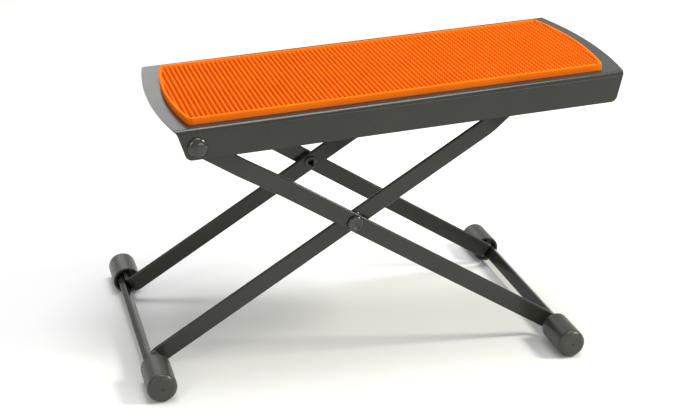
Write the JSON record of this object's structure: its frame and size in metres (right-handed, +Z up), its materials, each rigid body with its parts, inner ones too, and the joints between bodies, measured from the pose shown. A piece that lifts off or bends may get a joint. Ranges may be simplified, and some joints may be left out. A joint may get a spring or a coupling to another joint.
{
  "type": "folding guitar footrest",
  "caption": "folding footrest: a flanged steel platform with a bumpy orange rubber mat, carried by flat-bar frames crossed like scissors on round rubber feet",
  "frame": {"origin": "on the floor, under the middle of the stool's bounding box", "axes": "+X runs along the platform towards the end that the height rod hooks under, +Y runs across the stool from front to back, +Z is up"},
  "size_m": [0.2948, 0.1764, 0.1784],
  "materials": {
    "coated_steel": "charcoal powder coat, satin",
    "rivet_steel": "dark glossy coated steel",
    "rod_steel": "plain drawn steel rod",
    "mat_rubber": "orange moulded rubber with a fine bump texture",
    "foot_rubber": "dark grey moulded rubber, satin"
  },
  "bodies": {
    "platform": {"top_plate": "coated_steel", "rubber_mat": "mat_rubber", "rack_front": "coated_steel", "rack_back": "coated_steel"},
    "pivots": {"pivot_rivet_front": "rivet_steel", "pivot_rivet_back": "rivet_steel", "pivot_washer_front": "rivet_steel", "pivot_washer_back": "rivet_steel"},
    "outer_frame": {"outer_leg_front": "coated_steel", "outer_leg_back": "coated_steel", "outer_crossbar": "coated_steel", "outer_foot_front": "foot_rubber", "outer_foot_back": "foot_rubber", "outer_crossbar_rivet_front": "rivet_steel", "outer_crossbar_rivet_back": "rivet_steel", "crossing_rivet_front": "rivet_steel", "crossing_rivet_back": "rivet_steel", "crossing_washer_front": "rivet_steel", "crossing_washer_back": "rivet_steel"},
    "inner_frame": {"inner_leg_front": "coated_steel", "inner_leg_back": "coated_steel", "inner_crossbar": "coated_steel", "inner_foot_front": "foot_rubber", "inner_foot_back": "foot_rubber", "inner_crossbar_rivet_front": "rivet_steel", "inner_crossbar_rivet_back": "rivet_steel", "height_rod": "rod_steel"}
  },
  "joints": [
    {"name": "platform_lift", "type": "hinge", "parent": "platform", "child": "pivots", "pos_m": [-0.11325, 0, 0.14434], "axis": [0, 1, 0], "range_deg": [0, 25]},
    {"name": "fold", "type": "hinge", "parent": "pivots", "child": "outer_frame", "pos_m": [-0.11325, 0, 0.14434], "axis": [0, -1, 0], "range_deg": [-10.5, 32.4]},
    {"name": "scissor", "type": "hinge", "parent": "outer_frame", "child": "inner_frame", "pos_m": [-0.01875, 0, 0.08785], "axis": [0, -1, 0], "range_deg": [-59.5, 19.5]}
  ],
  "couplings": [
    {"joint": "scissor", "follows": "fold", "ratio": -1.83}
  ]
}
